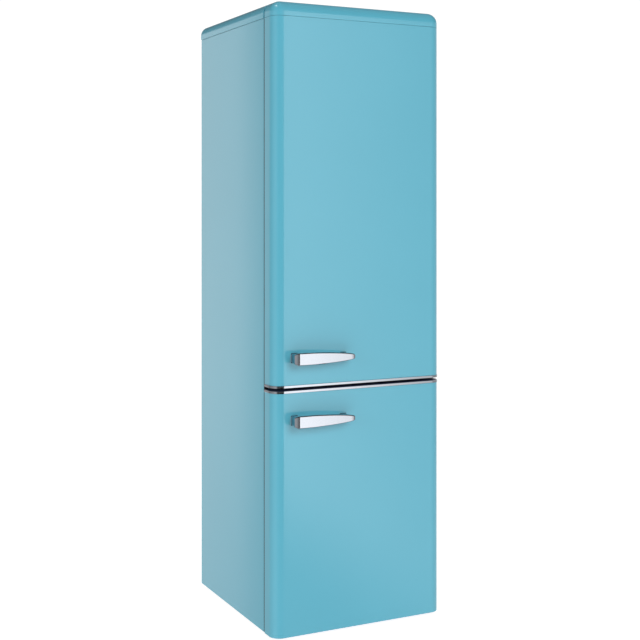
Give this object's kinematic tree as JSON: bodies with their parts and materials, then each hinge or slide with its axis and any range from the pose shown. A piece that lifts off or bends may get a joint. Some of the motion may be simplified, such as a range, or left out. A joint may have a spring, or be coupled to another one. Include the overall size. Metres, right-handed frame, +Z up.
{
  "type": "fridge-freezer",
  "caption": "Tall free-standing fridge-freezer with a rounded retro cabinet: fridge door above, freezer door below, both hinged on the right, with chrome handles and trims.",
  "frame": {"origin": "on the floor, at the middle of the footprint", "axes": "+Z up, -Y out of the doors towards the user, +X to the user's right when facing the doors"},
  "size_m": [0.553, 0.615, 1.81],
  "materials": {
    "turquoise_paint": "gloss",
    "turquoise_cap": "gloss",
    "galvanised_steel": "satin",
    "black_steel": "satin",
    "chrome_plate": "polished",
    "white_liner": "satin",
    "white_trim": "satin",
    "clear_tub": "clear",
    "glass": "clear",
    "foam": "matte",
    "seal": "matte",
    "black_rubber": "matte",
    "black_plastic": "matte",
    "grey_plastic": "satin",
    "aluminium_plate": "satin",
    "white_steel": "satin",
    "copper": "satin",
    "zinc_screws": "satin"
  },
  "bodies": {
    "cabinet": {"left_side_panel": "turquoise_paint", "right_side_panel": "turquoise_paint", "top_panel": "galvanised_steel", "top_cap": "turquoise_cap", "back_panel": "galvanised_steel", "base_plate": "galvanised_steel", "front_rails": "turquoise_paint", "cabinet_foam": "foam", "fridge_liner": "white_liner", "freezer_liner": "white_liner", "fridge_evaporator": "aluminium_plate", "freezer_evaporator": "white_steel", "drain_tube": "grey_plastic", "compressor_tray": "galvanised_steel", "compressor": "black_steel", "compressor_grommets": "black_rubber", "relay_box": "grey_plastic", "evaporating_tray": "black_plastic", "condenser_coil": "black_steel", "condenser_wires": "black_steel", "refrigerant_pipes": "copper", "mains_inlet": "black_plastic", "top_hinge": "black_steel", "middle_hinge": "black_steel", "bottom_hinge": "black_steel", "hinge_screws": "zinc_screws", "control_box": "white_trim", "lamp_lens": "clear_tub", "shelf_glass": "glass", "shelf_trims": "white_trim"},
    "fridge_door": {"fridge_door_skin": "turquoise_paint", "fridge_door_top_cap": "turquoise_cap", "fridge_door_bottom_cap": "black_plastic", "fridge_door_trim": "chrome_plate", "fridge_door_foam": "foam", "fridge_door_liner": "white_liner", "fridge_door_gasket": "seal", "fridge_handle": "chrome_plate", "dairy_bin": "clear_tub", "door_bins": "clear_tub", "bottle_bin": "clear_tub"},
    "freezer_door": {"freezer_door_skin": "turquoise_paint", "freezer_door_end_caps": "black_plastic", "freezer_door_trim": "chrome_plate", "freezer_door_foam": "foam", "freezer_door_liner": "white_liner", "freezer_door_gasket": "seal", "freezer_handle": "chrome_plate"},
    "bottom_freezer_drawer": {"bottom_freezer_drawer": "clear_tub"},
    "dairy_lid": {"dairy_lid": "clear_tub"},
    "left_crisper": {"left_crisper": "clear_tub"},
    "left_foot": {"left_foot": "black_plastic"},
    "left_roller": {"left_roller": "black_plastic"},
    "middle_freezer_drawer": {"middle_freezer_drawer": "clear_tub"},
    "right_crisper": {"right_crisper": "clear_tub"},
    "right_foot": {"right_foot": "black_plastic"},
    "right_roller": {"right_roller": "black_plastic"},
    "thermostat_knob": {"thermostat_knob": "grey_plastic"},
    "top_freezer_drawer": {"top_freezer_drawer": "clear_tub"},
    "light_switch": {"light_switch_plunger": "white_trim"}
  },
  "joints": [
    {"name": "fridge_door_hinge", "type": "hinge", "parent": "cabinet", "child": "fridge_door", "pos_m": [0.258, -0.2205, 0.713], "axis": [0, 0, 1], "range_deg": [0, 120]},
    {"name": "freezer_door_hinge", "type": "hinge", "parent": "cabinet", "child": "freezer_door", "pos_m": [0.258, -0.2205, 0.713], "axis": [0, 0, 1], "range_deg": [0, 120]},
    {"name": "dairy_lid_hinge", "type": "hinge", "parent": "fridge_door", "child": "dairy_lid", "pos_m": [0, -0.1925, 1.596], "axis": [1, 0, 0], "range_deg": [0, 70]},
    {"name": "left_crisper_slide", "type": "slide", "parent": "cabinet", "child": "left_crisper", "axis": [0, -1, 0], "range_m": [0, 0.21]},
    {"name": "right_crisper_slide", "type": "slide", "parent": "cabinet", "child": "right_crisper", "axis": [0, -1, 0], "range_m": [0, 0.21]},
    {"name": "top_drawer_slide", "type": "slide", "parent": "cabinet", "child": "top_freezer_drawer", "axis": [0, -1, 0], "range_m": [0, 0.18]},
    {"name": "middle_drawer_slide", "type": "slide", "parent": "cabinet", "child": "middle_freezer_drawer", "axis": [0, -1, 0], "range_m": [0, 0.18]},
    {"name": "bottom_drawer_slide", "type": "slide", "parent": "cabinet", "child": "bottom_freezer_drawer", "axis": [0, -1, 0], "range_m": [0, 0.18]},
    {"name": "light_switch_travel", "type": "slide", "parent": "cabinet", "child": "light_switch", "axis": [0, -1, 0], "range_m": [0, 0.0075]},
    {"name": "thermostat_turn", "type": "hinge", "parent": "cabinet", "child": "thermostat_knob", "pos_m": [0.095, -0.1325, 1.707], "axis": [0, -1, 0], "range_deg": [0, 270]},
    {"name": "left_foot_thread", "type": "hinge", "parent": "cabinet", "child": "left_foot", "pos_m": [-0.215, -0.1525, 0], "axis": [0, 0, 1], "continuous": true},
    {"name": "right_foot_thread", "type": "hinge", "parent": "cabinet", "child": "right_foot", "pos_m": [0.215, -0.1525, 0], "axis": [0, 0, 1], "continuous": true},
    {"name": "left_roller_axle", "type": "hinge", "parent": "cabinet", "child": "left_roller", "pos_m": [-0.2, 0.2775, 0.014], "axis": [1, 0, 0], "continuous": true},
    {"name": "right_roller_axle", "type": "hinge", "parent": "cabinet", "child": "right_roller", "pos_m": [0.2, 0.2775, 0.014], "axis": [1, 0, 0], "continuous": true}
  ],
  "couplings": [
    {"joint": "left_crisper_slide", "follows": "fridge_door_hinge", "m_per_rad": 0.1},
    {"joint": "right_crisper_slide", "follows": "fridge_door_hinge", "m_per_rad": 0.1},
    {"joint": "light_switch_travel", "follows": "fridge_door_hinge", "m_per_rad": 0.0035},
    {"joint": "top_drawer_slide", "follows": "freezer_door_hinge", "m_per_rad": 0.085},
    {"joint": "middle_drawer_slide", "follows": "freezer_door_hinge", "m_per_rad": 0.085},
    {"joint": "bottom_drawer_slide", "follows": "freezer_door_hinge", "m_per_rad": 0.085}
  ]
}
